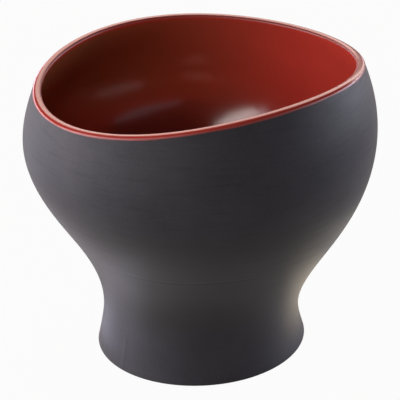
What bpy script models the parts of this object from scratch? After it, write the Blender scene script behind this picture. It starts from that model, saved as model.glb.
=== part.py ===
"""Porcelain bowl on a hollow pedestal foot, lined with red glaze.

Run it with blender --background --python part.py, or from Blender's text editor.
Metres, +Z up. The origin is on the table, below the centre of the belly.
"""

import bisect
import math

import bpy
import numpy as np

# Outside of the bowl and foot: radii, and the rise of each level above the one before
FOOT_RADIUS = 0.0379
WAIST_RADIUS = 0.0355
WAIST_RISE = 0.0141
LOWER_FLANK_RADIUS = 0.0425
LOWER_FLANK_RISE = 0.0219
UPPER_FLANK_RADIUS = 0.0565
UPPER_FLANK_RISE = 0.0240
BELLY_RADIUS = 0.0625
BELLY_RISE = 0.0200
SHOULDER_RADIUS = 0.0609
SHOULDER_RISE = 0.0140
LIP_RADIUS = 0.0577
LIP_RISE = 0.0100

# The bowl leans: each level's centre along X, measured from the centre of the belly
FOOT_OFFSET = -0.0028
FLANK_OFFSET = 0.0017
LIP_OFFSET = 0.0011
UPRIGHT_RISE = 0.0057
FLANK_RISE = 0.0347

# The uneven lip: one high side, and two lows with a second crest between them
LIP_SLANT = 0.0031
LIP_WAVE = 0.0027
LIP_HIGH_SIDE = math.radians(-56.0)

# Walls
WALL = 0.0040
LIP_CLAY = 0.0013
FLOOR_THICKNESS = 0.0046
FOOT_WALL = 0.0055
FOOT_EDGE = 0.0004

# Inside of the floor: a curve from the middle to a straight run, which meets the wall this high up
FLOOR_CURVE_RISE = 0.0320
FLOOR_RUN = 0.0270

# Glaze and slip
GLAZE = 0.0005
GLAZE_OVERLAP = 0.0016
SLIP = 0.0004
SLIP_INSET = 0.0004
CLEARANCE = 0.0003

# Smoothness of the turned shapes
STEPS = 60
FLOOR_POINTS = 8
WALL_POINTS = 9
LIP_POINTS = 6
FLANK_POINTS = 11
EDGE_POINTS = 4
SHARP_ANGLE = math.radians(50.0)

# Worked out from the sizes above
LOWER_FLANK_HEIGHT = WAIST_RISE + LOWER_FLANK_RISE
UPPER_FLANK_HEIGHT = LOWER_FLANK_HEIGHT + UPPER_FLANK_RISE
BELLY_HEIGHT = UPPER_FLANK_HEIGHT + BELLY_RISE
SHOULDER_HEIGHT = BELLY_HEIGHT + SHOULDER_RISE
LIP_HEIGHT = SHOULDER_HEIGHT + LIP_RISE
FLANK_HEIGHT = WAIST_RISE + FLANK_RISE
COAT = GLAZE + CLEARANCE
FOOT_TOP = WAIST_RISE - SLIP / 2 - CLEARANCE
BOWL_UNDERSIDE = WAIST_RISE + SLIP / 2 + CLEARANCE
CLAY_FLOOR = BOWL_UNDERSIDE + FLOOR_THICKNESS
LIP_SECTION = LIP_CLAY + 2 * COAT
HEIGHTS = (
    0.0,
    WAIST_RISE,
    LOWER_FLANK_HEIGHT,
    UPPER_FLANK_HEIGHT,
    BELLY_HEIGHT,
    SHOULDER_HEIGHT,
    LIP_HEIGHT,
)
RADII = (
    FOOT_RADIUS,
    WAIST_RADIUS,
    LOWER_FLANK_RADIUS,
    UPPER_FLANK_RADIUS,
    BELLY_RADIUS,
    SHOULDER_RADIUS,
    LIP_RADIUS,
)

OBJECT_NAME = "porcelain_bowl"


def smooth(share):
    """An S-curve from 0 to 1, level at both ends."""
    share = min(max(share, 0.0), 1.0)
    return share * share * (3 - 2 * share)


def between(start, end, count):
    """count + 1 evenly spaced values from start to end."""
    return [start + (end - start) * i / count for i in range(count + 1)]


def curve_bends():
    """Second derivatives at the levels of the smooth curve through all radii, straight at both ends."""
    count = len(HEIGHTS)
    matrix = np.eye(count)
    right = np.zeros(count)
    for i in range(1, count - 1):
        below = HEIGHTS[i] - HEIGHTS[i - 1]
        above = HEIGHTS[i + 1] - HEIGHTS[i]
        matrix[i, i - 1 : i + 2] = below, 2 * (below + above), above
        right[i] = 6 * ((RADII[i + 1] - RADII[i]) / above - (RADII[i] - RADII[i - 1]) / below)
    return np.linalg.solve(matrix, right)


BENDS = curve_bends()


def outer_radius(z):
    """Radius of the outside at height z: a smooth curve through the radii, drawn on straight above the lip."""
    level = min(max(z, 0.0), LIP_HEIGHT)
    i = min(bisect.bisect_right(HEIGHTS, level), len(HEIGHTS) - 1)
    rise = HEIGHTS[i] - HEIGHTS[i - 1]
    upper = (level - HEIGHTS[i - 1]) / rise
    lower = 1 - upper
    bend = (lower**3 - lower) * BENDS[i - 1] + (upper**3 - upper) * BENDS[i]
    radius = lower * RADII[i - 1] + upper * RADII[i] + bend * rise**2 / 6
    lip_slope = (LIP_RADIUS - SHOULDER_RADIUS) / LIP_RISE + BENDS[-2] * LIP_RISE / 6
    return float(radius + lip_slope * max(z - LIP_HEIGHT, 0.0))


def outer_normal(z):
    """Outward direction of the outside at height z, as (radial, upward)."""
    step = CLEARANCE / 10
    slope = (outer_radius(z + step) - outer_radius(z - step)) / (2 * step)
    length = math.hypot(1.0, slope)
    return 1.0 / length, -slope / length


def below_surface(z, depth):
    """The point (radius, height) at this depth under the outside's point at height z."""
    radial, upward = outer_normal(z)
    return outer_radius(z) - depth * radial, z - depth * upward


def clay_depth(z):
    """Depth of the clay's inside face: the wall, thinned towards the lip."""
    thinning = smooth((z - LOWER_FLANK_HEIGHT) / (LIP_HEIGHT - LOWER_FLANK_HEIGHT))
    return WALL + (COAT + LIP_CLAY - WALL) * thinning


def inside(raised):
    """The bowl's inside from the middle of the floor up to the lip, raised off the clay by this much."""
    foot_of_wall = BOWL_UNDERSIDE + FLOOR_CURVE_RISE
    floor = CLAY_FLOOR + raised
    end = below_surface(foot_of_wall, clay_depth(foot_of_wall) + raised)
    # The curve leaves the wall straight, along a line that meets the floor
    radial, upward = outer_normal(foot_of_wall)
    run = (end[1] - floor) / radial
    corner = (end[0] + upward * run, floor)
    end_pull = (end[0] + upward * FLOOR_RUN, end[1] - radial * FLOOR_RUN)
    points = []
    for t in between(0.0, 1.0, FLOOR_POINTS):
        weights = ((1 - t) ** 3, 3 * t * (1 - t) ** 2, 3 * t * t * (1 - t), t**3)
        corners = ((0.0, floor), corner, end_pull, end)
        points.append(tuple(sum(w * c[axis] for w, c in zip(weights, corners)) for axis in (0, 1)))
    for z in between(foot_of_wall, LIP_HEIGHT, WALL_POINTS)[1:]:
        points.append(below_surface(z, clay_depth(z) + raised))
    return points


def lip_round(raised):
    """The lip's half circle from its inner to its outer side, raised off the clay by this much."""
    centre = below_surface(LIP_HEIGHT, LIP_SECTION / 2)
    radial, upward = outer_normal(LIP_HEIGHT)
    outward = math.atan2(upward, radial)
    radius = LIP_CLAY / 2 + raised
    turns = between(outward + math.pi, outward, LIP_POINTS)[1:]
    return [(centre[0] + radius * math.cos(a), centre[1] + radius * math.sin(a)) for a in turns]


def lip_lift(angle):
    """How far the lip rises above its mean height at this angle round the bowl."""
    from_high_side = angle - LIP_HIGH_SIDE
    return LIP_SLANT * math.cos(from_high_side) + LIP_WAVE * math.cos(2 * from_high_side)


def centre_offset(z):
    """Where the centre of the level at height z lies along X."""
    if z < FLANK_HEIGHT:
        share = (z - UPRIGHT_RISE) / (FLANK_HEIGHT - UPRIGHT_RISE)
        return FOOT_OFFSET + (FLANK_OFFSET - FOOT_OFFSET) * smooth(share)
    back = smooth((z - FLANK_HEIGHT) / (BELLY_HEIGHT - FLANK_HEIGHT))
    over = smooth((z - BELLY_HEIGHT) / (LIP_HEIGHT - BELLY_HEIGHT))
    return FLANK_OFFSET * (1 - back) + LIP_OFFSET * over


def lean_and_lift(point):
    """Moves a point of the turned shape to its place on the leaning bowl with the uneven lip."""
    radius = math.hypot(point.x, point.y)
    angle = math.atan2(point.y, point.x)
    level = min(point.z, LIP_HEIGHT)
    lift = lip_lift(angle) * max(level - BELLY_HEIGHT, 0.0) / (LIP_HEIGHT - BELLY_HEIGHT)
    # The wall slides along its own curve, so the shoulder keeps its shape
    radius += outer_radius(level + lift) - outer_radius(level) if lift else 0.0
    point.x = radius * math.cos(angle) + centre_offset(level + lift)
    point.y = radius * math.sin(angle)
    point.z += lift


def new_material(name, colour, roughness):
    """A plain Principled material."""
    material = bpy.data.materials.new(name)
    material.use_nodes = True
    shader = material.node_tree.nodes["Principled BSDF"]
    shader.inputs["Base Color"].default_value = (*colour, 1.0)
    shader.inputs["Roughness"].default_value = roughness
    shader.inputs["Metallic"].default_value = 0.0
    return material


def turned(name, profile, closed, material, collection):
    """Turns a profile of (radius, height) points into a solid, then gives it the bowl's lean and lip."""
    edges = [(i, i + 1) for i in range(len(profile) - 1)]
    if closed:
        edges.append((len(profile) - 1, 0))
    outline = bpy.data.meshes.new(name + "_profile")
    outline.from_pydata([(r, 0.0, z) for r, z in profile], edges, [])
    piece = bpy.data.objects.new(name, outline)
    collection.objects.link(piece)
    screw = piece.modifiers.new("turning", "SCREW")
    screw.axis = "Z"
    screw.angle = 2 * math.pi
    screw.steps = STEPS
    screw.render_steps = STEPS
    screw.use_merge_vertices = True
    screw.merge_threshold = CLEARANCE / 100
    bpy.context.view_layer.update()
    graph = bpy.context.evaluated_depsgraph_get()
    solid = bpy.data.meshes.new_from_object(piece.evaluated_get(graph))
    piece.modifiers.clear()
    piece.data = solid
    bpy.data.meshes.remove(outline)
    solid.name = name
    for vertex in solid.vertices:
        lean_and_lift(vertex.co)
    solid.shade_smooth()
    solid.set_sharp_from_angle(angle=SHARP_ANGLE)
    solid.materials.clear()
    solid.materials.append(material)
    return piece


def bowl_shell(collection, clay):
    """The clay bowl: inside, lip with its glazed band, outside, and the flat that the foot is luted to."""
    band_end = LIP_HEIGHT - GLAZE_OVERLAP - CLEARANCE
    profile = inside(0.0) + lip_round(0.0)
    profile.append(below_surface(band_end, COAT))
    profile += [(outer_radius(z), z) for z in between(band_end, BELLY_HEIGHT, LIP_POINTS)]
    profile += [(outer_radius(z), z) for z in between(BELLY_HEIGHT, BOWL_UNDERSIDE, FLANK_POINTS)[1:]]
    profile.append((0.0, BOWL_UNDERSIDE))
    return turned("bowl_shell", profile, False, clay, collection)


def red_glaze_lining(collection, glaze):
    """The glaze coat: over the inside, round the lip and a little way down the outside."""
    band_end = LIP_HEIGHT - GLAZE_OVERLAP
    upper = inside(COAT) + lip_round(COAT)
    edge = [below_surface(band_end, 0.0), below_surface(band_end, GLAZE)]
    lower = inside(CLEARANCE) + lip_round(CLEARANCE)
    return turned("red_glaze_lining", upper + edge + lower[::-1], False, glaze, collection)


def foot_inner_radius(z):
    """Radius of the hollow in the foot at height z."""
    return outer_radius(z) - FOOT_WALL


def pedestal_foot(collection, clay):
    """The hollow foot: flared outside, rounded edges, and a flat ring to stand on."""
    levels = between(FOOT_TOP, FOOT_EDGE, EDGE_POINTS)
    profile = [(outer_radius(z), z) for z in levels]
    outer_edge = outer_radius(FOOT_EDGE) - FOOT_EDGE
    inner_edge = foot_inner_radius(FOOT_EDGE) + FOOT_EDGE
    for a in between(0.0, -math.pi / 2, EDGE_POINTS)[1:]:
        profile.append((outer_edge + FOOT_EDGE * math.cos(a), FOOT_EDGE + FOOT_EDGE * math.sin(a)))
    for a in between(-math.pi / 2, -math.pi, EDGE_POINTS):
        profile.append((inner_edge + FOOT_EDGE * math.cos(a), FOOT_EDGE + FOOT_EDGE * math.sin(a)))
    profile += [(foot_inner_radius(z), z) for z in levels[::-1][1:]]
    return turned("pedestal_foot", profile, True, clay, collection)


def luting_slip(collection, slip):
    """The ring of slip between the foot's top and the bowl's underside."""
    outer = outer_radius(WAIST_RISE) - SLIP_INSET
    inner = foot_inner_radius(FOOT_TOP) + SLIP_INSET
    top = WAIST_RISE + SLIP / 2
    bottom = WAIST_RISE - SLIP / 2
    profile = [(inner, top), (outer, top), (outer, bottom), (inner, bottom)]
    return turned("luting_slip", profile, True, slip, collection)


def main():
    for old in list(bpy.data.objects):
        bpy.data.objects.remove(old)
    collection = bpy.data.collections.new(OBJECT_NAME)
    bpy.context.scene.collection.children.link(collection)
    bowl_clay = new_material("stained_porcelain_bowl", (0.075, 0.068, 0.073), 0.75)
    foot_clay = new_material("stained_porcelain_foot", (0.075, 0.068, 0.073), 0.75)
    slip = new_material("stained_slip", (0.065, 0.060, 0.064), 0.85)
    glaze = new_material("red_glaze", (0.260, 0.022, 0.015), 0.12)
    bowl_shell(collection, bowl_clay)
    pedestal_foot(collection, foot_clay)
    luting_slip(collection, slip)
    red_glaze_lining(collection, glaze)


main()
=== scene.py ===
"""Dresses the porcelain bowl: stained matte clay outside, glossy red glaze inside and over the lip.

Metres, +Z up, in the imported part's frame: the origin is on the table, below the centre of the belly,
+X is to the right of the camera and +Y runs away from it.
"""

import logging
import math
from collections.abc import Callable, Sequence
from dataclasses import dataclass
from enum import Enum
from functools import cached_property, partial
from typing import ClassVar

import bpy
import numpy as np
from mathutils import Matrix, Vector


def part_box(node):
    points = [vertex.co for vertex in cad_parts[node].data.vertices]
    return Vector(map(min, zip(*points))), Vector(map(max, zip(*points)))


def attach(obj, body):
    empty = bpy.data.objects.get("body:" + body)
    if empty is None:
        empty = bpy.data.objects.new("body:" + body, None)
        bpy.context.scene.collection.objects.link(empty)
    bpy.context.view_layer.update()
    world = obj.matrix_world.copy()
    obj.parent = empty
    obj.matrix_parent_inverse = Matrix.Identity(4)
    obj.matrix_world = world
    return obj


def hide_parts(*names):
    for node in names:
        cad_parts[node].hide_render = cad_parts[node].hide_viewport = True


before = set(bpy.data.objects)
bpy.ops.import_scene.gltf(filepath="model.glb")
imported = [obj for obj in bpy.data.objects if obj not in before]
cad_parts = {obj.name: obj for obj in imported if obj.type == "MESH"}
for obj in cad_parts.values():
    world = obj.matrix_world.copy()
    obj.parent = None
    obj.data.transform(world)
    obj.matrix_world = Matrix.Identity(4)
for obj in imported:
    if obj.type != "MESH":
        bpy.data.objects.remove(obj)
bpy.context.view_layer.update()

logging.basicConfig(level=logging.INFO, format="%(message)s")
LOG = logging.getLogger("porcelain_bowl")

MM = 0.001

# The picture is square, and the lens is given on the usual 36 mm sensor
SENSOR_WIDTH = 36.0
PICTURE_PIXELS = 400

# Edges sharper than this stay sharp, and points nearer than this are merged
SHARP_ANGLE = math.radians(40.0)
MERGE_DISTANCE = 0.002 * MM

# The glaze's values that its material reads: how thin it has run, how pale the lip's crest is, partly broken
# glaze and partly a painted highlight, and how far it lies below the lip
THINNESS = "glaze_thinness"
CREST_BREAK_AND_HIGHLIGHT = "glaze_paleness"
DEPTH = "glaze_depth"

Point = tuple[float, float]
Outline = list[Point]
Range = tuple[float, float]
Rule = Callable[[np.ndarray], np.ndarray]
Source = bpy.types.NodeSocket | bpy.types.Node
# Waves round the bowl, each with its height, its number in a turn and its phase
Waves = Sequence[tuple[float, float, np.ndarray | float]]


class Slot(Enum):
    """The record's material slots."""

    CLAY = "stained_porcelain"
    SLIP = "stained_slip"
    GLAZE = "red_glaze"


class LampFace(Enum):
    """The shapes of a lamp's face."""

    OBLONG = "RECTANGLE"
    OVAL = "ELLIPSE"


def linear(hex_colour: str) -> tuple[float, float, float, float]:
    """Turns an sRGB hex colour to linear light.

    Args:
        hex_colour: six hex digits after a hash sign.

    Returns:
        Red, green, blue and an alpha of 1.
    """
    channels = [int(hex_colour[i : i + 2], 16) / 255 for i in (1, 3, 5)]
    low = [c / 12.92 for c in channels]
    high = [((c + 0.055) / 1.055) ** 2.4 for c in channels]
    return (*(a if c <= 0.04045 else b for c, a, b in zip(channels, low, high)), 1.0)


def per_metre(size_mm: float) -> float:
    """The scale of a noise texture whose features are about this many millimetres wide."""
    return 1.0 / (size_mm * MM)


def add_node(
    tree: bpy.types.NodeTree,
    kind: str,
    settings: dict[str | int, object] | None = None,
    links: dict[str | int, Source] | None = None,
) -> bpy.types.Node:
    """Adds a shader node, sets it up and links its inputs.

    Args:
        tree: the node tree of the material.
        kind: the node's type after the word ShaderNode, such as TexNoise.
        settings: the node's own properties, and its inputs' values by name or place.
        links: what feeds each input, by the input's name or place: an output, or a node for its first one.

    Returns:
        The new node.
    """
    node = tree.nodes.new("ShaderNode" + kind)
    for key, value in (settings or {}).items():
        if isinstance(key, str) and hasattr(node, key):
            setattr(node, key, value)
        else:
            node.inputs[key].default_value = value
    for key, source in (links or {}).items():
        if isinstance(source, bpy.types.Node):
            source = next(output for output in source.outputs if output.enabled)
        tree.links.new(source, node.inputs[key])
    return node


def new_material(name: str) -> tuple[bpy.types.Material, Callable[..., bpy.types.Node]]:
    """Starts a material.

    Args:
        name: the material's name.

    Returns:
        The material, still empty, and add_node for its own tree.
    """
    material = bpy.data.materials.new(name)
    material.use_nodes = True
    material.node_tree.nodes.clear()
    return material, partial(add_node, material.node_tree)


def smooth_step(share: np.ndarray | float) -> np.ndarray | float:
    """An S-curve from 0 to 1, level at both ends."""
    share = np.clip(share, 0.0, 1.0)
    return share * share * (3 - 2 * share)


def wave_sum(angle: np.ndarray, waves: Waves) -> np.ndarray:
    """The sum of several waves at each angle."""
    return sum(height * np.sin(number * angle + phase) for height, number, phase in waves)


def polar(points: np.ndarray) -> tuple[np.ndarray, np.ndarray]:
    """The points' distances from the axis, and their angles round it."""
    return np.hypot(points[:, 0], points[:, 1]), np.arctan2(points[:, 1], points[:, 0])


def pushed_out(points: np.ndarray, distance: np.ndarray) -> np.ndarray:
    """Moves points away from the axis.

    Args:
        points: an array of points, one a row.
        distance: how far each point moves, towards the axis where it is negative.

    Returns:
        The moved points.
    """
    share = 1 + distance / np.maximum(np.hypot(points[:, 0], points[:, 1]), MM)
    return np.column_stack((points[:, 0] * share, points[:, 1] * share, points[:, 2]))


def spaced(start: float, end: float, step: float) -> list[float]:
    """Evenly spaced values from start to end, about a step apart.

    Args:
        start: the first value.
        end: the last value, which may be lower.
        step: the widest distance between two values.

    Returns:
        The values, with both ends.
    """
    count = max(1, math.ceil(abs(end - start) / step))
    return [start + (end - start) * i / count for i in range(count + 1)]


def arc(centre: Point, radius: float, start: float, end: float, count: int) -> Outline:
    """Points on an arc.

    Args:
        centre: the arc's centre as (radius, height).
        radius: the arc's own radius.
        start: the first point's angle.
        end: the last point's angle.
        count: the number of steps between them.

    Returns:
        count + 1 points.
    """
    angles = [start + (end - start) * i / count for i in range(count + 1)]
    return [(centre[0] + radius * math.cos(a), centre[1] + radius * math.sin(a)) for a in angles]


@dataclass(frozen=True)
class BowlForm:
    """The shape that clay, slip and glaze follow: a turned form that leans and has an uneven lip."""

    waist_height: float
    bowl_underside: float
    foot_top: float
    foot_radius: float = 37.9 * MM
    waist_radius: float = 35.5 * MM
    lower_flank_radius: float = 42.5 * MM
    lower_flank_rise: float = 21.9 * MM
    upper_flank_radius: float = 56.5 * MM
    upper_flank_rise: float = 24.0 * MM
    belly_radius: float = 62.5 * MM
    belly_rise: float = 20.0 * MM
    shoulder_radius: float = 60.9 * MM
    shoulder_rise: float = 14.0 * MM
    lip_radius: float = 57.7 * MM
    lip_rise: float = 10.0 * MM
    foot_offset: float = -2.8 * MM
    flank_offset: float = 1.7 * MM
    lip_offset: float = 1.1 * MM
    upright_rise: float = 5.7 * MM
    flank_rise: float = 34.7 * MM
    lip_slant: float = 3.1 * MM
    lip_wave: float = 2.7 * MM
    lip_high_side: float = math.radians(-56.0)
    wall: float = 4.0 * MM
    lip_section: float = 2.9 * MM
    lip_inner_round: float = 0.85 * MM
    lip_outer_round: float = 1.2 * MM
    lip_inner_turn: float = math.radians(-6.0)
    lip_outer_turn: float = math.radians(8.0)
    floor_thickness: float = 4.6 * MM
    floor_curve_rise: float = 32.0 * MM
    floor_run: float = 27.0 * MM
    lining: float = 0.8 * MM
    swell: float = 0.05 * MM
    # Each wave of the swell: its share, its number in a turn, how far it winds on its way up, its phase
    swell_waves: tuple[tuple[float, float, float, float], ...] = (
        (1.0, 2.0, 4.0, 0.6),
        (0.6, 5.0, -7.0, 2.2),
        (0.4, 9.0, 11.0, 4.1),
    )

    @classmethod
    def from_frame(cls) -> "BowlForm":
        """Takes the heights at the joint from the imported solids.

        Returns:
            The form.
        """
        slip_low, slip_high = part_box("luting_slip")
        return cls(
            waist_height=(slip_low.z + slip_high.z) / 2,
            bowl_underside=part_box("bowl_shell")[0].z,
            foot_top=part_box("pedestal_foot")[1].z,
        )

    @cached_property
    def heights(self) -> np.ndarray:
        """Heights of the named levels.

        Returns:
            The heights, from the table to the lip.
        """
        rises = (
            self.waist_height,
            self.lower_flank_rise,
            self.upper_flank_rise,
            self.belly_rise,
            self.shoulder_rise,
            self.lip_rise,
        )
        return np.concatenate(([0.0], np.cumsum(rises)))

    @cached_property
    def radii(self) -> np.ndarray:
        """Radii of the named levels.

        Returns:
            The radii, from the foot's to the lip's.
        """
        return np.array(
            (
                self.foot_radius,
                self.waist_radius,
                self.lower_flank_radius,
                self.upper_flank_radius,
                self.belly_radius,
                self.shoulder_radius,
                self.lip_radius,
            )
        )

    @cached_property
    def bends(self) -> np.ndarray:
        """How the smooth curve through all radii bends, straight at both ends.

        Returns:
            The curve's second derivatives at the levels.
        """
        rises = np.diff(self.heights)
        slopes = np.diff(self.radii) / rises
        matrix = np.eye(len(self.heights))
        right = np.zeros(len(self.heights))
        for i in range(1, len(rises)):
            matrix[i, i - 1 : i + 2] = rises[i - 1], 2 * (rises[i - 1] + rises[i]), rises[i]
            right[i] = 6 * (slopes[i] - slopes[i - 1])
        return np.linalg.solve(matrix, right)

    @property
    def lower_flank_height(self) -> float:
        """Height from which the wall thins towards the lip."""
        return float(self.heights[2])

    @property
    def belly_height(self) -> float:
        """Height of the belly, above which the lip's waves begin."""
        return float(self.heights[4])

    @property
    def lip_height(self) -> float:
        """Mean height of the lip's outer edge."""
        return float(self.heights[6])

    def outer_radius(self, z: np.ndarray | float) -> np.ndarray:
        """Radius of the outside: one smooth curve through the levels, drawn on straight above the lip.

        Args:
            z: one height or an array of them.

        Returns:
            The radius at each height.
        """
        z = np.asarray(z, float)
        level = np.clip(z, 0.0, self.lip_height)
        i = np.clip(np.searchsorted(self.heights, level, side="right"), 1, len(self.heights) - 1)
        rise = self.heights[i] - self.heights[i - 1]
        upper = (level - self.heights[i - 1]) / rise
        lower = 1 - upper
        bend = (lower**3 - lower) * self.bends[i - 1] + (upper**3 - upper) * self.bends[i]
        radius = lower * self.radii[i - 1] + upper * self.radii[i] + bend * rise**2 / 6
        lip_slope = (self.lip_radius - self.shoulder_radius) / self.lip_rise
        lip_slope += self.bends[-2] * self.lip_rise / 6
        return radius + lip_slope * np.clip(z - self.lip_height, 0.0, None)

    def outward(self, z: float) -> Point:
        """The outside's normal.

        Args:
            z: the height on the outside.

        Returns:
            The normal as (radial, upward).
        """
        step = 0.03 * MM
        slope = float(self.outer_radius(z + step) - self.outer_radius(z - step)) / (2 * step)
        return 1.0 / math.hypot(1.0, slope), -slope / math.hypot(1.0, slope)

    def under(self, z: float, depth: float) -> Point:
        """A point below the outside, or above it for a negative depth.

        Args:
            z: the height of the point on the outside.
            depth: how far below the outside the point lies.

        Returns:
            The point as (radius, height).
        """
        radial, upward = self.outward(z)
        return float(self.outer_radius(z)) - depth * radial, z - depth * upward

    def inner_depth(self, z: float) -> float:
        """Depth of the glazed inside below the outside.

        Args:
            z: the height on the outside.

        Returns:
            The wall's thickness with its glaze, thinned towards the lip.
        """
        thinned_over = self.lip_height - self.lower_flank_height
        thinning = float(smooth_step((z - self.lower_flank_height) / thinned_over))
        glazed_wall = self.wall + self.lining
        return glazed_wall + (self.lip_section - glazed_wall) * thinning

    def inside(self, sunk: float, step: float) -> Outline:
        """The bowl's inside from the middle of the floor up to the lip.

        Args:
            sunk: how far below the glaze's surface the outline lies.
            step: the widest distance between two points.

        Returns:
            The outline's points.
        """
        foot_of_wall = self.bowl_underside + self.floor_curve_rise
        floor = self.bowl_underside + self.floor_thickness + self.lining - sunk
        end = self.under(foot_of_wall, self.inner_depth(foot_of_wall) - sunk)
        # The curve leaves the wall straight, along a line that meets the floor
        radial, upward = self.outward(foot_of_wall)
        corner = (end[0] + upward * (end[1] - floor) / radial, floor)
        pull = (end[0] + upward * self.floor_run, end[1] - radial * self.floor_run)
        corners = ((0.0, floor), corner, pull, end)
        points = []
        for t in spaced(0.0, 1.0, step / math.hypot(end[0], end[1] - floor)):
            weights = ((1 - t) ** 3, 3 * t * (1 - t) ** 2, 3 * t * t * (1 - t), t**3)
            points.append(tuple(sum(w * c[i] for w, c in zip(weights, corners)) for i in (0, 1)))
        for z in spaced(foot_of_wall, self.lip_height, step)[1:]:
            points.append(self.under(z, self.inner_depth(z) - sunk))
        return points

    def lip_round(self, sunk: float, proud: float, count: int) -> Outline:
        """The lip's section from its inner to its outer side: a round edge, a flat crest and a soft shoulder.

        Args:
            sunk: how far below the glaze's surface the section lies.
            proud: how far the soft shoulder's end stands out.
            count: the number of steps in each of the three arcs.

        Returns:
            The points after the inner one.
        """
        radial, upward = self.outward(self.lip_height)
        outer_end = math.atan2(radial, upward)
        inner_end = outer_end - math.pi
        # Angles are measured from the upright, and the crest's radius makes up the lip's thickness
        shoulder_share = 1 - math.cos(outer_end - self.lip_outer_turn)
        edge_share = 1 + math.cos(outer_end - self.lip_inner_turn)
        rest = self.lip_section - self.lip_outer_round * shoulder_share - self.lip_inner_round * edge_share
        crest_round = rest / (2 - shoulder_share - edge_share)
        start = self.under(self.lip_height, self.lip_outer_round)
        arcs = [(start, self.lip_outer_round, outer_end, self.lip_outer_turn)]
        for radius, first, last in (
            (crest_round, self.lip_outer_turn, self.lip_inner_turn),
            (self.lip_inner_round, self.lip_inner_turn, inner_end),
        ):
            (r, z), before, _, _ = arcs[-1]
            step = before - radius
            arcs.append(((r + step * math.sin(first), z + step * math.cos(first)), radius, first, last))
        points: Outline = []
        for place, ((r, z), radius, first, last) in enumerate(arcs):
            for i in range(count + 1) if place == 0 else range(1, count + 1):
                turn = first + (last - first) * i / count
                raised = proud * float(smooth_step(1 - i / count)) if place == 0 else 0.0
                reach = radius - sunk + raised
                points.append((r + reach * math.sin(turn), z + reach * math.cos(turn)))
        return points[-2::-1]

    def lip_lift(self, angle: np.ndarray) -> np.ndarray:
        """How far the lip rises above its mean height at each angle round the bowl."""
        turned = angle - self.lip_high_side
        return self.lip_slant * np.cos(turned) + self.lip_wave * np.cos(2 * turned)

    def centre(self, z: np.ndarray) -> np.ndarray:
        """Where the centre of each level lies along X.

        Args:
            z: the heights of the levels.

        Returns:
            The centres, from the foot's, by way of the flank's, to the lip's.
        """
        flank_height = self.waist_height + self.flank_rise
        lean = smooth_step((z - self.upright_rise) / (flank_height - self.upright_rise))
        back = smooth_step((z - flank_height) / (self.belly_height - flank_height))
        over = smooth_step((z - self.belly_height) / (self.lip_height - self.belly_height))
        below = self.foot_offset + (self.flank_offset - self.foot_offset) * lean
        above = self.flank_offset * (1 - back) + self.lip_offset * over
        return np.where(z < flank_height, below, above)

    def unevenness(self, angle: np.ndarray, z: np.ndarray) -> np.ndarray:
        """The slow swelling and sinking of a hand-finished wall, which dies out at the waist.

        Args:
            angle: each point's angle round the bowl.
            z: each point's height.

        Returns:
            How far the wall stands out at each point.
        """
        share = (z - self.waist_height) / (self.belly_height - self.waist_height)
        waves = [(size, number, wind * share + phase) for size, number, wind, phase in self.swell_waves]
        return self.swell / 2 * wave_sum(angle, waves) * smooth_step(2 * share)

    def settle(self, points: np.ndarray) -> np.ndarray:
        """Moves the points of a turned shape to their places on the leaning bowl with the uneven lip.

        Args:
            points: an array of points, one a row.

        Returns:
            The moved points.
        """
        radius, angle = polar(points)
        level = np.minimum(points[:, 2], self.lip_height)
        above_belly = np.clip(level - self.belly_height, 0.0, None) / (self.lip_height - self.belly_height)
        lift = self.lip_lift(angle) * above_belly
        # The wall slides along its own curve, so the shoulder keeps its shape
        slid = self.outer_radius(level + lift) - self.outer_radius(level)
        radius = radius + np.where(lift == 0.0, 0.0, slid)
        radius += self.unevenness(angle, level) * smooth_step(radius / self.waist_radius)
        x = radius * np.cos(angle) + self.centre(level + lift)
        return np.column_stack((x, radius * np.sin(angle), points[:, 2] + lift))


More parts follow.
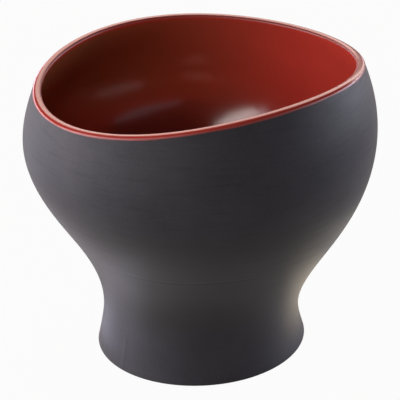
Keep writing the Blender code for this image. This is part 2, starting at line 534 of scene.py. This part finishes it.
class TurnedModel:
    """A mesh that is modelled as on a wheel: an outline drawn point by point, then spun round the axis."""

    def __init__(self, name: str, outline: Sequence[Point], steps: int) -> None:
        """Draws the outline and spins it.

        Args:
            name: the piece's name.
            outline: points as (radius, height), in order round the solid's section.
            steps: the number of steps in a full turn.
        """
        bpy.ops.object.select_all(action="DESELECT")
        bpy.ops.mesh.primitive_plane_add(size=MM, location=(0.0, 0.0, 0.0))
        self.piece = bpy.context.object
        self.piece.name = name
        self.piece.data.name = name
        bpy.ops.object.mode_set(mode="EDIT")
        bpy.ops.mesh.select_all(action="SELECT")
        bpy.ops.mesh.merge(type="CENTER")
        bpy.ops.transform.translate(value=(outline[0][0], 0.0, outline[0][1]))
        for (r0, z0), (r1, z1) in zip(outline, outline[1:]):
            step = (r1 - r0, 0.0, z1 - z0)
            bpy.ops.mesh.extrude_vertices_move(TRANSFORM_OT_translate={"value": step})
        bpy.ops.mesh.select_all(action="SELECT")
        bpy.ops.mesh.spin(steps=steps, angle=2 * math.pi, center=(0, 0, 0), axis=(0, 0, 1))
        bpy.ops.mesh.select_all(action="SELECT")
        bpy.ops.mesh.remove_doubles(threshold=MERGE_DISTANCE)
        bpy.ops.mesh.normals_make_consistent(inside=False)
        bpy.ops.object.mode_set(mode="OBJECT")

    def points(self) -> np.ndarray:
        """Reads the mesh.

        Returns:
            An array of its points, one a row.
        """
        vertices = self.piece.data.vertices
        flat = np.zeros(len(vertices) * 3)
        vertices.foreach_get("co", flat)
        return flat.reshape(-1, 3)

    def move_points(self, rule: Rule) -> None:
        """Moves every point by a rule that takes and returns an array of points."""
        self.piece.data.vertices.foreach_set("co", rule(self.points()).ravel())
        self.piece.data.update()

    def add_value(self, name: str, rule: Rule) -> None:
        """Gives every point a named value for the material to read, by a rule on the points."""
        values = self.piece.data.attributes.new(name, "FLOAT", "POINT")
        values.data.foreach_set("value", rule(self.points()).astype(np.float32))

    def shade(self, sharp_angle: float) -> None:
        """Shades the piece smooth.

        Args:
            sharp_angle: edges sharper than this stay sharp.
        """
        bpy.ops.object.select_all(action="DESELECT")
        self.piece.select_set(True)
        bpy.context.view_layer.objects.active = self.piece
        bpy.ops.object.shade_smooth_by_angle(angle=sharp_angle)


@dataclass(frozen=True)
class StainedPorcelain:
    """Porcelain stained in the body, turned, sponged and fired without glaze.

    It gives the eye a dry, dark violet grey. On the lower flank it turns to a warmer grey, which is also
    darker there as painted shade where the flank faces down. Short streaks left by the turning run round
    the pot, its edges shine a little where the light grazes them, and the ring that the foot stands on is
    ground bare.
    """

    name: str = "stained_porcelain_unglazed"
    dark: str = "#37363B"
    pale: str = "#48474B"
    # warmer tone of the lower flank, also darkened there as painted shade
    warm_tone_and_shade: str = "#2E2B25"
    streak: str = "#252427"
    ground: str = "#5E5B60"
    # Real grit and turning lines are about 0.1 mm wide, too fine to show, so both are drawn coarser
    streak_width_mm: float = 0.9
    streak_length_mm: float = 16.0
    grit_mm: float = 0.5
    cloud_mm: float = 24.0
    streak_height_mm: float = 0.005
    grit_height_mm: float = 0.013
    flank_low_mm: float = 30.0
    flank_high_mm: float = 62.0
    flank_fade_mm: float = 18.0
    smooth_below_mm: float = 26.0
    ground_height_mm: float = 0.15
    flank_warmth_and_shade_share: float = 0.75
    streak_share: float = 0.19
    foot_streak_share: float = 0.3
    grit_share: float = 0.55
    # The parts of each noise's range over which paleness and streaks set in
    pale_range: Range = (0.5, 1.05)
    streak_range: Range = (0.5, 0.72)
    smooth_roughness: float = 0.5
    rough_roughness: float = 0.58
    ior: float = 1.5
    specular_level: float = 0.25
    sheen: float = 0.3
    sheen_roughness: float = 0.45

    def build(self) -> bpy.types.Material:
        """Makes the material.

        Returns:
            A material that reads Object coordinates.
        """
        material, add = new_material(self.name)
        place = add("TexCoord").outputs["Object"]
        height = add("SeparateXYZ", links={"Vector": place}).outputs["Z"]
        drawn_out = self.streak_width_mm / self.streak_length_mm
        round_pot = add("Mapping", {"Scale": (drawn_out, drawn_out, 1.0)}, {"Vector": place})
        streaks, clouds, grit = [
            add(
                "TexNoise",
                {"Scale": per_metre(size), "Detail": detail, "Roughness": rough},
                {"Vector": vector},
            )
            for size, detail, rough, vector in (
                (self.streak_width_mm, 2.0, 0.6, round_pot),
                (self.cloud_mm, 5.0, 0.6, place),
                (self.grit_mm, 1.0, 0.5, place),
            )
        ]
        mottle = add("Math", {"operation": "MULTIPLY_ADD", 1: self.grit_share}, {0: grit, 2: clouds})
        paleness, drawn = [
            add("MapRange", {"From Min": low, "From Max": high}, {"Value": value})
            for (low, high), value in ((self.pale_range, mottle), (self.streak_range, streaks))
        ]
        below_flank, above_flank = [
            add(
                "MapRange",
                {"interpolation_type": "SMOOTHSTEP", "From Min": level * MM, "From Max": (level + fade) * MM},
                {"Value": height},
            )
            for level, fade in (
                (self.flank_low_mm, -self.flank_fade_mm),
                (self.flank_high_mm, self.flank_fade_mm),
            )
        ]
        off_flank = add("Math", {"operation": "ADD", "use_clamp": True}, {0: below_flank, 1: above_flank})
        # painted shade: the lower flank, which faces down, turns warmer and darker
        flank_warmth_and_shade = add("MapRange", {"To Min": self.flank_warmth_and_shade_share, "To Max": 0.0}, {"Value": off_flank})
        above_foot = add(
            "MapRange",
            {
                "From Min": self.smooth_below_mm * MM,
                "From Max": self.flank_high_mm * MM,
                "To Min": self.foot_streak_share,
            },
            {"Value": height},
        )
        streaked = add("Math", {"operation": "MULTIPLY"}, {0: drawn, 1: above_foot})
        streak_mix = add("Math", {"operation": "MULTIPLY", 1: self.streak_share}, {0: streaked})
        standing = add(
            "MapRange",
            {"From Max": self.ground_height_mm * MM, "To Min": 1.0, "To Max": 0.0},
            {"Value": height},
        )
        colour = add("Mix", {"data_type": "RGBA", 6: linear(self.dark), 7: linear(self.pale)}, {0: paleness})
        for share, tone in ((flank_warmth_and_shade, self.warm_tone_and_shade), (streak_mix, self.streak), (standing, self.ground)):
            colour = add("Mix", {"data_type": "RGBA", 7: linear(tone)}, {0: share, 6: colour})
        roughness = add(
            "MapRange",
            {"To Min": self.smooth_roughness, "To Max": self.rough_roughness},
            {"Value": streaked},
        )
        streak_bump = add(
            "Bump",
            {"Strength": 1.0, "Distance": self.streak_height_mm * MM, "invert": True},
            {"Height": streaked},
        )
        grit_bump = add(
            "Bump",
            {"Strength": 1.0, "Distance": self.grit_height_mm * MM},
            {"Height": grit, "Normal": streak_bump},
        )
        shader = add(
            "BsdfPrincipled",
            {
                "IOR": self.ior,
                "Specular IOR Level": self.specular_level,
                "Sheen Weight": self.sheen,
                "Sheen Roughness": self.sheen_roughness,
            },
            {"Base Color": colour, "Roughness": roughness, "Normal": grit_bump},
        )
        add("OutputMaterial", links={"Surface": shader})
        return material


@dataclass(frozen=True)
class RedGlaze:
    """A red glaze, poured in and fired glossy.

    It gives the eye a deep, wet red with soft reflections and a faint ripple in them. It is painted browner
    on the left and darker low in the bowl on that side, as painted shade where the inside is shaded. It is
    pale on the lip's crest, partly broken glaze and partly a painted highlight, and dark and less glossy
    where it runs thin at its edges.
    """

    name: str = "red_glaze_glossy"
    deep: str = "#CF4537"
    shallow: str = "#C64235"
    thin: str = "#4E241E"
    # pale crest colour, partly broken glaze and partly a painted highlight
    crest_break_and_highlight: str = "#C98B7C"
    # painted shade: the inside's shaded left side turns browner
    shaded_side_brown: str = "#985C3A"
    # painted shade: darker low in the bowl on its shaded left side
    painted_low_shade: str = "#7E2B1E"
    # Where the painted shade of the brown side and of the darker low part sets in and where it is full:
    # across the bowl, and up it
    shaded_side_across_mm: Range = (34.0, -40.0)
    low_shade_across_mm: Range = (28.0, -6.0)
    low_shade_height_mm: Range = (77.0, 59.0)
    cloud_mm: float = 14.0
    cloud_range: Range = (0.35, 0.8)
    ripple_mm: float = 7.0
    ripple_height_mm: float = 0.02
    roughness: float = 0.14
    thin_roughness: float = 0.5
    dull_thinness: float = 0.5
    ior: float = 1.7

    def build(self) -> bpy.types.Material:
        """Makes the material.

        Returns:
            A material that reads Object coordinates and the coat's own values.
        """
        material, add = new_material(self.name)
        place = add("TexCoord").outputs["Object"]
        axes = add("SeparateXYZ", links={"Vector": place}).outputs
        clouds, ripple = [
            add("TexNoise", {"Scale": per_metre(size), "Detail": detail}, {"Vector": place})
            for size, detail in ((self.cloud_mm, 3.0), (self.ripple_mm, 1.0))
        ]
        cloud_low, cloud_high = self.cloud_range
        cloudiness = add("MapRange", {"From Min": cloud_low, "From Max": cloud_high}, {"Value": clouds})
        # masks of painted shade: the shaded left side, and the low part of the bowl on that side
        left_shade, low_shade_side, low_shade_depth = [
            add(
                "MapRange",
                {"interpolation_type": fade, "From Min": start * MM, "From Max": full * MM},
                {"Value": axes[axis]},
            )
            for axis, fade, (start, full) in (
                ("X", "LINEAR", self.shaded_side_across_mm),
                ("X", "LINEAR", self.low_shade_across_mm),
                ("Z", "SMOOTHSTEP", self.low_shade_height_mm),
            )
        ]
        # the crest's pale colour is partly a painted highlight
        thinness, paleness, below_lip = [
            add("Attribute", {"attribute_name": value}).outputs["Fac"]
            for value in (THINNESS, CREST_BREAK_AND_HIGHLIGHT, DEPTH)
        ]
        left_shade_share, low_shade_share = [
            add("Math", {"operation": "MULTIPLY"}, {0: first, 1: second})
            for first, second in ((left_shade, below_lip), (low_shade_depth, low_shade_side))
        ]
        colour = add(
            "Mix", {"data_type": "RGBA", 6: linear(self.deep), 7: linear(self.shallow)}, {0: cloudiness}
        )
        # the brown side and the darker low part are painted shade, and the pale crest is partly a painted
        # highlight
        for share, tone in (
            (left_shade_share, self.shaded_side_brown),
            (low_shade_share, self.painted_low_shade),
            (paleness, self.crest_break_and_highlight),
            (thinness, self.thin),
        ):
            colour = add("Mix", {"data_type": "RGBA", 7: linear(tone)}, {0: share, 6: colour})
        dullness = add(
            "MapRange",
            {"From Max": self.dull_thinness, "To Min": self.roughness, "To Max": self.thin_roughness},
            {"Value": thinness},
        )
        bump = add("Bump", {"Strength": 1.0, "Distance": self.ripple_height_mm * MM}, {"Height": ripple})
        shader = add(
            "BsdfPrincipled",
            {"IOR": self.ior},
            {"Base Color": colour, "Roughness": dullness, "Normal": bump},
        )
        add("OutputMaterial", links={"Surface": shader})
        return material


@dataclass(frozen=True)
class WhiteSweep:
    """Matt white paper that runs up behind the bowl.

    It gives the eye an even white with a trace of the bowl's shadow on it.
    """

    name: str = "white_sweep_paper"
    paper: str = "#A5A3A0"
    shown_white: float = 0.96
    reflected_white: float = 0.26

    def build(self) -> bpy.types.Material:
        """Makes the material.

        Returns:
            Plain paper to the light, mostly plain white to the camera, and partly so in reflections.
        """
        material, add = new_material(self.name)
        ray = add("LightPath").outputs
        mirrored = add(
            "Math", {"operation": "MAXIMUM"}, {0: ray["Is Glossy Ray"], 1: ray["Is Transmission Ray"]}
        )
        mirrored_share = add("Math", {"operation": "MULTIPLY", 1: self.reflected_white}, {0: mirrored})
        share = add(
            "Math",
            {"operation": "MULTIPLY_ADD", 1: self.shown_white},
            {0: ray["Is Camera Ray"], 2: mirrored_share},
        )
        paper = add("BsdfDiffuse", {"Color": linear(self.paper)})
        white = add("Emission", {"Strength": 1.0})
        mix = add("MixShader", links={0: share, 1: paper, 2: white})
        add("OutputMaterial", links={"Surface": mix})
        return material


@dataclass
class TurnedPiece:
    """A piece of the bowl: its outline is turned, worked over, settled on the leaning form and dressed."""

    form: BowlForm
    finish: bpy.types.Material
    steps: int = 384
    name: ClassVar[str]
    solid: ClassVar[str]
    slot: ClassVar[Slot]

    def outline(self) -> Outline:
        """The piece's section, point by point."""
        raise NotImplementedError

    def work_over(self, model: TurnedModel) -> None:
        """Gives the turned model what the wheel can't, which is nothing on a plain piece."""

    def build(self) -> bpy.types.Object:
        """Models the piece, gives it its finish and puts it in the place of its solid.

        Returns:
            The finished piece.
        """
        model = TurnedModel(self.name, self.outline(), self.steps)
        self.work_over(model)
        model.move_points(self.form.settle)
        model.shade(SHARP_ANGLE)
        piece = model.piece
        piece.data.materials.clear()
        piece.data.materials.append(self.finish)
        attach(piece, "root")
        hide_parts(self.solid)
        LOG.info("%s: %d faces", piece.name, len(piece.data.polygons))
        return piece


@dataclass
class BowlBody(TurnedPiece):
    """The clay bowl: flank, belly and shoulder outside, and the bed that the glaze lies on inside."""

    name: ClassVar[str] = "bowl_body"
    solid: ClassVar[str] = "bowl_shell"
    slot: ClassVar[Slot] = Slot.CLAY
    outside_step: float = 1.0 * MM
    hidden_step: float = 2.4 * MM
    hidden_lip_steps: int = 4
    bed_depth: float = 0.4 * MM
    band_cover: float = 0.1 * MM
    tool_line_height: float = 47.4 * MM
    tool_line_depth: float = 0.06 * MM
    tool_line_width: float = 0.35 * MM
    tool_line_middle: float = math.radians(266.0)
    tool_line_reach: float = math.radians(38.0)
    tool_line_waves: Waves = ((0.4 * MM, 2.0, 0.0), (0.16 * MM, 11.0, 0.5), (0.07 * MM, 29.0, 0.0))
    skin: float = 0.1 * MM

    def outline(self) -> Outline:
        """The clay's section.

        Returns:
            Points from the middle of the inside over the lip to the middle of the underside.
        """
        form = self.form
        points = form.inside(self.bed_depth, self.hidden_step)
        points += form.lip_round(self.bed_depth, 0.0, self.hidden_lip_steps)
        band_end = form.lip_height - self.band_cover
        line = self.tool_line_height
        near = 4 * self.tool_line_width
        levels = spaced(band_end, line + near, self.outside_step)
        levels += spaced(line + near, line - near, self.tool_line_width / 2)[1:]
        levels += spaced(line - near, form.bowl_underside, self.outside_step)[1:]
        points += [(float(form.outer_radius(z)), z) for z in levels]
        points += [(r, form.bowl_underside) for r in spaced(points[-1][0], 0.0, 2 * self.hidden_step)[1:]]
        return points

    def score(self, points: np.ndarray) -> np.ndarray:
        """Presses the faint tool line into the front of the flank, dying away to both sides.

        Args:
            points: an array of points, one a row.

        Returns:
            The moved points.
        """
        radius, angle = polar(points)
        away = np.angle(np.exp(1j * (angle - self.tool_line_middle)))
        wander = wave_sum(away, self.tool_line_waves)
        offset = (points[:, 2] - self.tool_line_height - wander) / self.tool_line_width
        outside = radius > self.form.outer_radius(points[:, 2]) - self.skin
        fade = np.clip(1 - (away / self.tool_line_reach) ** 2, 0.0, 1.0)
        return pushed_out(points, -self.tool_line_depth * fade * np.exp(-(offset**2)) * outside)

    def work_over(self, model: TurnedModel) -> None:
        """Scores the tool line."""
        model.move_points(self.score)


@dataclass
class FlaredFoot(TurnedPiece):
    """The hollow foot: flared outside with a mould seam on two sides, and a ring that it stands on."""

    name: ClassVar[str] = "flared_foot"
    solid: ClassVar[str] = "pedestal_foot"
    slot: ClassVar[Slot] = Slot.CLAY
    step: float = 0.5 * MM
    wall: float = 5.5 * MM
    edge: float = 0.4 * MM
    edge_steps: int = 6
    seam_angle: float = math.radians(220.0)
    seam_height: float = 0.10 * MM
    seam_width: float = 0.7 * MM
    seam_top_fade: float = 2.0 * MM
    seam_low_fade: float = 1.0 * MM

    def outline(self) -> Outline:
        """The foot's section.

        Returns:
            Points from the foot's top down the outside and up the hollow, back to the start.
        """
        form = self.form
        levels = spaced(form.foot_top, self.edge, self.step)
        points = [(float(form.outer_radius(z)), z) for z in levels]
        outer = float(form.outer_radius(self.edge)) - self.edge
        inner = float(form.outer_radius(self.edge)) - self.wall + self.edge
        points += arc((outer, self.edge), self.edge, 0.0, -math.pi / 2, self.edge_steps)[1:]
        points += arc((inner, self.edge), self.edge, -math.pi / 2, -math.pi, self.edge_steps)
        points += [(r - self.wall, z) for r, z in reversed(points[: len(levels) - 1])]
        return points + points[:1]

    def raise_seams(self, points: np.ndarray) -> np.ndarray:
        """Raises the two low ridges that the halves of the mould left on the outside.

        Args:
            points: an array of points, one a row.

        Returns:
            The moved points.
        """
        radius, angle = polar(points)
        height = points[:, 2]
        across = radius * np.arcsin(np.clip(np.sin(angle - self.seam_angle), -1.0, 1.0)) / self.seam_width
        outside = smooth_step((radius - self.form.outer_radius(height) + self.edge) / self.edge)
        ridge = self.seam_height * np.exp(-(across**2)) * outside
        fade = smooth_step((self.form.foot_top - height) / self.seam_top_fade)
        fade *= smooth_step(height / self.seam_low_fade)
        return pushed_out(points, ridge * fade)

    def work_over(self, model: TurnedModel) -> None:
        """Raises the mould's seams."""
        model.move_points(self.raise_seams)


@dataclass
class SlipJoint(TurnedPiece):
    """The ring of slip at the waist: wiped flush outside, left as a small bead in the hollow."""

    name: ClassVar[str] = "slip_joint"
    solid: ClassVar[str] = "luting_slip"
    slot: ClassVar[Slot] = Slot.SLIP
    step: float = 0.5 * MM
    foot_wall: float = 5.5 * MM
    bead: float = 0.9 * MM
    bead_steps: int = 12

    def outline(self) -> Outline:
        """The ring's section.

        Returns:
            Points from the ring's outer top edge round the bead and back.
        """
        form = self.form
        outside = spaced(form.bowl_underside, form.foot_top, self.step)
        points = [(float(form.outer_radius(z)), z) for z in outside]
        inner = float(form.outer_radius(form.foot_top)) - self.foot_wall
        middle = (form.bowl_underside + form.foot_top) / 2
        half = (form.bowl_underside - form.foot_top) / 2
        for x, z in arc((0.0, 0.0), 1.0, -math.pi / 2, -3 * math.pi / 2, self.bead_steps):
            points.append((inner + self.bead * x, middle + half * z))
        return points + points[:1]


@dataclass
class GlazeLining(TurnedPiece):
    """The red glaze: over the inside, round the lip, and down the outside to an uneven beaded edge."""

    name: ClassVar[str] = "glaze_coat"
    solid: ClassVar[str] = "red_glaze_lining"
    slot: ClassVar[Slot] = Slot.GLAZE
    step: float = 1.2 * MM
    hidden_step: float = 2.4 * MM
    hidden_lip_steps: int = 4
    lip_steps: int = 10
    thickness: float = 0.4 * MM
    overlap: float = 0.3 * MM
    proud: float = 0.05 * MM
    band_step: float = 0.1 * MM
    bead_steps: int = 6
    edge_wander: float = 0.16 * MM
    edge_waves: Waves = ((1.0, 7.0, 0.4), (0.7, 12.0, 2.1), (0.5, 23.0, 5.0))
    lip_fade: float = 1.5 * MM
    outer_thinness: float = 0.55
    inner_thinness: float = 0.6
    inner_reach: float = 0.45 * MM
    # the crest's paleness is partly a painted highlight
    crest_break_and_highlight_strength: float = 0.6
    crest_share: float = 0.55
    sunk_edge: float = 0.04 * MM

    def outline(self) -> Outline:
        """The coat's section.

        Returns:
            Points from the middle of the floor over the lip and back underneath.
        """
        form = self.form
        points = form.inside(0.0, self.step) + form.lip_round(0.0, self.proud, self.lip_steps)
        band_end = form.lip_height - self.overlap
        for z in spaced(form.lip_height, band_end + self.proud, self.band_step)[1:]:
            points.append(form.under(z, -self.proud))
        radial, upward = form.outward(band_end)
        turn = math.atan2(upward, radial)
        root = form.under(band_end + self.proud, 0.0)
        points += arc(root, self.proud, turn, turn - math.pi / 2, self.bead_steps)[1:]
        points.append(form.under(band_end + self.proud, self.sunk_edge))
        points += form.lip_round(self.thickness, 0.0, self.hidden_lip_steps)[::-1]
        points += form.inside(self.thickness, self.hidden_step)[::-1]
        return points

    def wander(self, points: np.ndarray) -> np.ndarray:
        """Lets the coat's outer edge rise and dip a little round the lip.

        Args:
            points: an array of points, one a row.

        Returns:
            The moved points.
        """
        form = self.form
        radius, angle = polar(points)
        outside = radius > form.outer_radius(points[:, 2]) - self.thickness
        low = smooth_step((form.lip_height - points[:, 2]) / self.overlap) * outside
        low = np.where(points[:, 2] > form.belly_height, low, 0.0)
        height = points[:, 2] + self.edge_wander * wave_sum(angle, self.edge_waves) / 2 * low
        return np.column_stack((points[:, 0], points[:, 1], height))

    def thinness(self, points: np.ndarray) -> np.ndarray:
        """How thin the coat has run.

        Args:
            points: an array of points, one a row.

        Returns:
            0 inside the bowl, and most on the lip's inner edge and at the coat's outer one.
        """
        form = self.form
        lip = form.lip_round(0.0, 0.0, self.lip_steps)
        crest = max(z for _, z in lip)
        radius, _ = polar(points)
        outside = smooth_step((radius - form.outer_radius(points[:, 2])) / form.lip_section + 1)
        low = smooth_step((crest - points[:, 2]) / (crest - form.lip_height + self.overlap))
        edge_r, edge_z = lip[self.lip_steps // 2]
        off_edge = np.hypot(radius - edge_r, points[:, 2] - edge_z) / self.inner_reach
        thin = np.maximum(self.outer_thinness * outside * low, self.inner_thinness * np.exp(-(off_edge**2)))
        return np.where(points[:, 2] > form.belly_height, thin, 0.0)

    def paleness(self, points: np.ndarray) -> np.ndarray:
        """How pale the coat is on the lip's crest: partly broken glaze, partly a painted highlight.

        Args:
            points: an array of points, one a row.

        Returns:
            0 inside the bowl, and most in the middle of the lip's crest.
        """
        lip = self.form.lip_round(0.0, 0.0, self.lip_steps)
        (start_r, start_z), (end_r, end_z) = lip[self.lip_steps], lip[2 * self.lip_steps - 2]
        reach = self.crest_share * math.hypot(end_r - start_r, end_z - start_z)
        middle_r, middle_z = (start_r + end_r) / 2, (start_z + end_z) / 2
        radius, _ = polar(points)
        off_middle = np.hypot(radius - middle_r, points[:, 2] - middle_z) / reach
        return self.crest_break_and_highlight_strength * np.exp(-(off_middle**2))

    def depth(self, points: np.ndarray) -> np.ndarray:
        """How far the coat lies below the lip: 0 on the lip, 1 from a little way down the inside."""
        return smooth_step((self.form.lip_height - points[:, 2]) / self.lip_fade)

    def work_over(self, model: TurnedModel) -> None:
        """Gives the material its values, then lets the coat's edge wander.

        Args:
            model: the coat as turned.
        """
        for name, rule in ((THINNESS, self.thinness), (CREST_BREAK_AND_HIGHLIGHT, self.paleness), (DEPTH, self.depth)):
            model.add_value(name, rule)
        model.move_points(self.wander)


@dataclass(frozen=True)
class Softbox:
    """A soft lamp or a small lit card, placed round the bowl and turned to it.

    Azimuth runs from the camera's side to the right, and angles are in degrees. Roll turns the lamp in its
    own plane, and tilt turns its face up, or down where it is negative.
    """

    name: str
    azimuth: float
    elevation: float
    distance: float
    width: float
    height: float
    radiance: float
    colour: str
    roll: float = 0.0
    tilt: float = 0.0
    face: LampFace = LampFace.OBLONG

    def build(self, aim: Vector) -> bpy.types.Object:
        """Hangs the lamp.

        Args:
            aim: the point that the lamp is placed round.

        Returns:
            The lamp, which the camera doesn't see.
        """
        light = bpy.data.lights.new(self.name, "AREA")
        light.shape = self.face.value
        light.size = self.width
        light.size_y = self.height
        area = self.width * self.height * (math.pi / 4 if self.face is LampFace.OVAL else 1.0)
        light.energy = self.radiance * math.pi * area
        light.color = linear(self.colour)[:3]
        lamp = bpy.data.objects.new(self.name, light)
        around, up = math.radians(self.azimuth), math.radians(self.elevation)
        direction = Vector(
            (math.sin(around) * math.cos(up), -math.cos(around) * math.cos(up), math.sin(up))
        )
        lamp.location = aim + direction * self.distance
        turned = direction.to_track_quat("Z", "Y").to_matrix().to_4x4()
        turned @= Matrix.Rotation(math.radians(self.roll), 4, "Z")
        turned @= Matrix.Rotation(math.radians(self.tilt), 4, "X")
        lamp.rotation_euler = turned.to_euler()
        lamp.visible_camera = False
        bpy.context.scene.collection.objects.link(lamp)
        return lamp


@dataclass
class Studio:
    """The white sweep, the lamps, the dim room and the camera."""

    aim_height: float = 53.7 * MM
    sweep_radius: float = 3.0
    sweep_curve: float = 0.5
    sweep_curve_steps: int = 12
    sweep_height: float = 1.0
    sweep_drop: float = 0.02 * MM
    sweep_steps: int = 96
    room: str = "#2A2827"
    camera_distance: float = 859.2 * MM
    camera_elevation: float = math.radians(26.665)
    camera_roll: float = math.radians(2.603)
    focal_pixels: float = 2400.0
    camera_left: float = 1.065 * MM
    camera_up: float = 0.921 * MM
    # Each lamp's name, azimuth, elevation, distance, width, height, radiance and colour
    lamps: tuple[Softbox, ...] = (
        Softbox("left_window_low", -105.0, 4.5, 1.2, 1.38, 0.19, 9.0, "#FBF4FD"),
        Softbox("left_window_middle", -75.0, 14.5, 1.2, 1.34, 0.23, 5.0, "#FBF4FD"),
        Softbox("left_window_high", -75.0, 28.0, 1.2, 1.22, 0.34, 3.2, "#FBF4FD"),
        Softbox("left_back_strip", -150.0, 4.5, 1.2, 0.64, 0.19, 6.0, "#F2EDFF"),
        Softbox("right_back_strip", 120.0, 4.5, 1.2, 0.64, 0.19, 14.0, "#E9EBFF"),
        Softbox("right_panel", 90.0, 5.0, 1.2, 0.64, 0.21, 7.0, "#E9EBFF"),
        Softbox("back_right_panel", 150.0, 11.0, 1.2, 0.63, 0.46, 2.0, "#FFEFE8"),
        Softbox("back_panel", 178.0, 30.5, 1.2, 0.66, 0.78, 2.6, "#FFDDD2"),
        Softbox(
            "front_left_softbox", -29.0, 32.0, 1.2, 0.74, 0.17, 5.5, "#FFF4F0", roll=30.0, face=LampFace.OVAL
        ),
        Softbox("front_right_strip", 42.0, 23.5, 1.2, 1.2, 0.14, 0.4, "#EEE8FF"),
        Softbox("right_card", 97.0, -44.8, 0.0733, 0.045, 0.022, 1.8, "#FFEBC8", tilt=45.0),
        Softbox("right_far_card", 97.0, -34.0, 0.092, 0.09, 0.026, 0.9, "#FFF4E0", tilt=34.0),
        Softbox("left_card", -98.0, -14.0, 0.20, 0.24, 0.09, 1.5, "#F2EDFF"),
        Softbox("left_foot_card", -97.0, -28.0, 0.102, 0.09, 0.014, 0.5, "#E4E0FF", tilt=-28.0),
        Softbox("front_foot_card", -80.0, -46.5, 0.0713, 0.05, 0.01, 1.8, "#E4E0FF", tilt=46.5),
    )

    @property
    def aim(self) -> Vector:
        """The point on the axis that the camera faces."""
        return Vector((0.0, 0.0, self.aim_height))

    def build_sweep(self) -> bpy.types.Object:
        """Models the floor and the wall round it.

        Returns:
            The sweep.
        """
        # The floor lies a hair below the foot, so that no two faces share a plane
        curve = (self.sweep_radius - self.sweep_curve, self.sweep_curve - self.sweep_drop)
        outline = [(0.0, -self.sweep_drop)]
        outline += arc(curve, self.sweep_curve, -math.pi / 2, 0.0, self.sweep_curve_steps)
        outline.append((self.sweep_radius, self.sweep_height))
        model = TurnedModel("white_sweep", outline, self.sweep_steps)
        model.shade(math.pi)
        model.piece.data.materials.append(WhiteSweep().build())
        return model.piece

    def build_room(self) -> None:
        """Sets the dim, even light of the room."""
        world = bpy.data.worlds.new("dim_room")
        world.use_nodes = True
        world.node_tree.nodes["Background"].inputs["Color"].default_value = linear(self.room)
        bpy.context.scene.world = world

    def build_camera(self) -> bpy.types.Object:
        """Sets up the camera at the photograph's viewing angle.

        Returns:
            The camera, which becomes the scene's own.
        """
        data = bpy.data.cameras.new("photo_camera")
        data.sensor_width = SENSOR_WIDTH
        data.lens = SENSOR_WIDTH * self.focal_pixels / PICTURE_PIXELS
        camera = bpy.data.objects.new("photo_camera", data)
        tilt = Matrix.Rotation(math.pi / 2 - self.camera_elevation, 4, "X")
        roll = Matrix.Rotation(-self.camera_roll, 4, "Z")
        back = Vector((0.0, -math.cos(self.camera_elevation), math.sin(self.camera_elevation)))
        place = self.aim + back * self.camera_distance
        place += tilt.to_3x3() @ Vector((-self.camera_left, self.camera_up, 0.0))
        camera.matrix_world = Matrix.Translation(place) @ tilt @ roll
        bpy.context.scene.collection.objects.link(camera)
        bpy.context.scene.camera = camera
        return camera

    def build(self) -> None:
        """Sets the stage, the light and the camera."""
        self.build_sweep()
        self.build_room()
        for lamp in self.lamps:
            lamp.build(self.aim)
        self.build_camera()
        bpy.context.scene.view_settings.view_transform = "Standard"


def finishes() -> tuple[bpy.types.Material, bpy.types.Material, bpy.types.Material]:
    """Makes the finishes.

    Returns:
        The clay's, the slip's and the glaze's.
    """
    clay = StainedPorcelain().build()
    slip = StainedPorcelain(name="stained_slip_wiped", streak_height_mm=0.003).build()
    return clay, slip, RedGlaze().build()


def main() -> None:
    """Builds the bowl piece by piece, then the studio round it."""
    form = BowlForm.from_frame()
    clay, slip, glaze = finishes()
    pieces = [
        BowlBody(form, clay).build(),
        FlaredFoot(form, clay).build(),
        SlipJoint(form, slip).build(),
        GlazeLining(form, glaze).build(),
    ]
    LOG.info("built %s", ", ".join(piece.name for piece in pieces))
    Studio().build()


if __name__ == "__main__":
    main()
